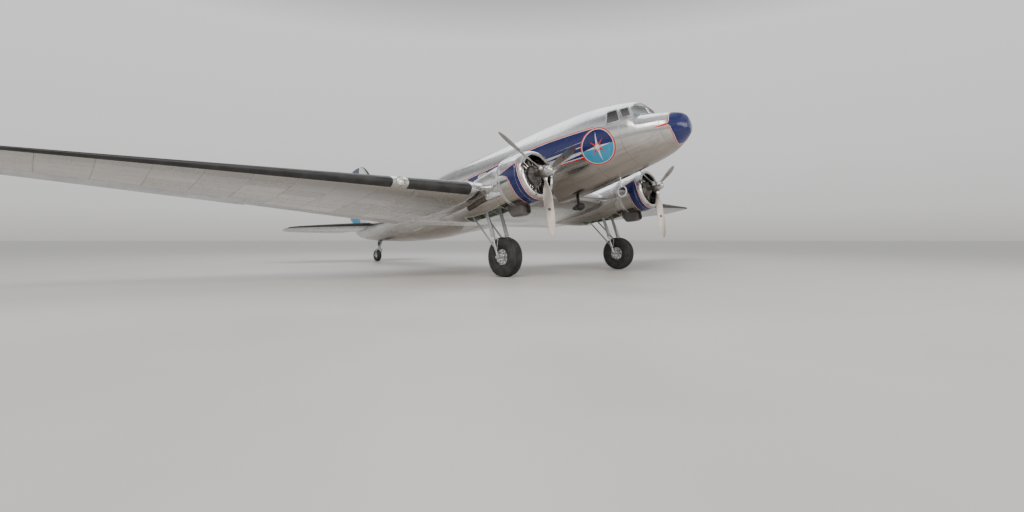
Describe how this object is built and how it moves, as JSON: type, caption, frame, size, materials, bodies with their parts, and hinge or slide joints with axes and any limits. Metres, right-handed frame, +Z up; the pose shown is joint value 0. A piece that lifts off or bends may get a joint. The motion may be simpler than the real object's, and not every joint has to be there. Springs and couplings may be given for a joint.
{
  "type": "twin piston-engined tail-wheel airliner",
  "caption": "Low-wing propeller airliner of polished sheet metal with two radial engines in round cowlings, standing on its main wheels and a swivelling tail wheel.",
  "frame": {"origin": "on the floor under the centre of the overall box", "axes": "+X to port along the span, +Y aft from nose to tail, +Z up; the nose points to -Y"},
  "size_m": [28.956, 19.601, 5.0652],
  "materials": {
    "polished_skin": "polished sheet with flush seams",
    "blue_paint": "dark blue gloss paint",
    "light_blue_paint": "light blue gloss paint",
    "window_glass": "clear pane over a dark cockpit",
    "engine_metal": "dark grey cylinders with fins",
    "dark_metal": "dark scorched or painted metal",
    "propeller_metal": "ground metal blades",
    "tyre_rubber": "black rubber",
    "grey_paint": "silver-grey paint",
    "lamp_glass": "clear lens over a golden reflector"
  },
  "bodies": {
    "airframe": {"nose_cone": "blue_paint", "fuselage": "polished_skin", "centre_wing": "polished_skin", "fin": "polished_skin", "tail_strut": "grey_paint", "direction_finder": "dark_metal", "loop_aerial": "dark_metal", "windshield_port": "window_glass", "sliding_window_port": "window_glass", "side_window_port": "window_glass", "wing_joint_band_port": "polished_skin", "outer_wing_port": "polished_skin", "landing_light_port": "lamp_glass", "nacelle_port": "polished_skin", "cowling_port": "polished_skin", "engine_port": "engine_metal", "carburettor_scoop_port": "polished_skin", "oil_cooler_port": "polished_skin", "exhaust_port": "dark_metal", "main_gear_port": "grey_paint", "tailplane_port": "polished_skin", "windshield_starboard": "window_glass", "sliding_window_starboard": "window_glass", "side_window_starboard": "window_glass", "wing_joint_band_starboard": "polished_skin", "outer_wing_starboard": "polished_skin", "landing_light_starboard": "lamp_glass", "nacelle_starboard": "polished_skin", "cowling_starboard": "polished_skin", "engine_starboard": "engine_metal", "carburettor_scoop_starboard": "polished_skin", "oil_cooler_starboard": "polished_skin", "exhaust_starboard": "dark_metal", "main_gear_starboard": "grey_paint", "tailplane_starboard": "polished_skin"},
    "propeller_port": {"propeller_port": "propeller_metal"},
    "main_wheel_port": {"main_wheel_port": "grey_paint", "main_tyre_port": "tyre_rubber"},
    "aileron_port": {"aileron_port": "polished_skin"},
    "elevator_port": {"elevator_port": "polished_skin"},
    "centre_flap_port": {"centre_flap_port": "polished_skin"},
    "outer_flap_port": {"outer_flap_port": "polished_skin"},
    "propeller_starboard": {"propeller_starboard": "propeller_metal"},
    "main_wheel_starboard": {"main_wheel_starboard": "grey_paint", "main_tyre_starboard": "tyre_rubber"},
    "aileron_starboard": {"aileron_starboard": "polished_skin"},
    "elevator_starboard": {"elevator_starboard": "polished_skin"},
    "centre_flap_starboard": {"centre_flap_starboard": "polished_skin"},
    "outer_flap_starboard": {"outer_flap_starboard": "polished_skin"},
    "rudder": {"rudder": "light_blue_paint"},
    "passenger_door": {"passenger_door": "polished_skin"},
    "tail_fork": {"tail_fork": "grey_paint"},
    "tail_wheel": {"tail_wheel": "grey_paint", "tail_tyre": "tyre_rubber"}
  },
  "joints": [
    {"name": "propeller_spin_port", "type": "hinge", "parent": "airframe", "child": "propeller_port", "pos_m": [2.82, -7.13667, 2.87141], "axis": [0, 0.984, -0.178], "continuous": true},
    {"name": "main_wheel_spin_port", "type": "hinge", "parent": "airframe", "child": "main_wheel_port", "pos_m": [2.82, -5.60144, 0.5715], "axis": [1, 0, 0], "continuous": true},
    {"name": "aileron_turn_port", "type": "hinge", "parent": "airframe", "child": "aileron_port", "pos_m": [8.62, -1.84375, 2.19953], "axis": [0.9951, 0.0593, 0.0788], "range_deg": [-18, 27]},
    {"name": "elevator_turn_port", "type": "hinge", "parent": "airframe", "child": "elevator_port", "pos_m": [0, 8.12262, 1.55497], "axis": [1, 0, 0], "range_deg": [-20, 30]},
    {"name": "centre_flap_turn_port", "type": "hinge", "parent": "airframe", "child": "centre_flap_port", "pos_m": [1.33, -1.93193, 1.65816], "axis": [-1, 0, 0], "range_deg": [0, 45]},
    {"name": "outer_flap_turn_port", "type": "hinge", "parent": "airframe", "child": "outer_flap_port", "pos_m": [3.86941, -1.93123, 1.66201], "axis": [-0.9952, -0.0175, -0.0965], "range_deg": [0, 45]},
    {"name": "propeller_spin_starboard", "type": "hinge", "parent": "airframe", "child": "propeller_starboard", "pos_m": [-2.82, -7.13667, 2.87141], "axis": [0, 0.984, -0.178], "continuous": true},
    {"name": "main_wheel_spin_starboard", "type": "hinge", "parent": "airframe", "child": "main_wheel_starboard", "pos_m": [-2.82, -5.60144, 0.5715], "axis": [1, 0, 0], "continuous": true},
    {"name": "aileron_turn_starboard", "type": "hinge", "parent": "airframe", "child": "aileron_starboard", "pos_m": [-8.62, -1.84375, 2.19953], "axis": [0.9951, -0.0593, -0.0788], "range_deg": [-18, 27]},
    {"name": "elevator_turn_starboard", "type": "hinge", "parent": "airframe", "child": "elevator_starboard", "pos_m": [0, 8.12262, 1.55497], "axis": [1, 0, 0], "range_deg": [-20, 30]},
    {"name": "centre_flap_turn_starboard", "type": "hinge", "parent": "airframe", "child": "centre_flap_starboard", "pos_m": [-1.33, -1.93193, 1.65816], "axis": [-1, 0, 0], "range_deg": [0, 45]},
    {"name": "outer_flap_turn_starboard", "type": "hinge", "parent": "airframe", "child": "outer_flap_starboard", "pos_m": [-3.86941, -1.93123, 1.66201], "axis": [-0.9952, 0.0175, 0.0965], "range_deg": [0, 45]},
    {"name": "rudder_turn", "type": "hinge", "parent": "airframe", "child": "rudder", "pos_m": [0, 8.30037, 1.80737], "axis": [0, 0.0869, 0.9962], "range_deg": [-30, 30]},
    {"name": "passenger_door_turn", "type": "hinge", "parent": "airframe", "child": "passenger_door", "pos_m": [-1.21227, 1.34356, 1.56142], "axis": [0, 0.178, 0.984], "range_deg": [0, 100]},
    {"name": "tail_wheel_swivel", "type": "hinge", "parent": "airframe", "child": "tail_fork", "pos_m": [0, 6.54372, 0], "axis": [0, 0, 1], "continuous": true},
    {"name": "tail_wheel_spin", "type": "hinge", "parent": "tail_fork", "child": "tail_wheel", "pos_m": [0, 6.74372, 0.28], "axis": [1, 0, 0], "continuous": true}
  ],
  "couplings": [
    {"joint": "elevator_turn_starboard", "follows": "elevator_turn_port", "ratio": 1},
    {"joint": "outer_flap_turn_port", "follows": "centre_flap_turn_port", "ratio": 1},
    {"joint": "centre_flap_turn_starboard", "follows": "centre_flap_turn_port", "ratio": 1},
    {"joint": "outer_flap_turn_starboard", "follows": "centre_flap_turn_port", "ratio": 1}
  ]
}
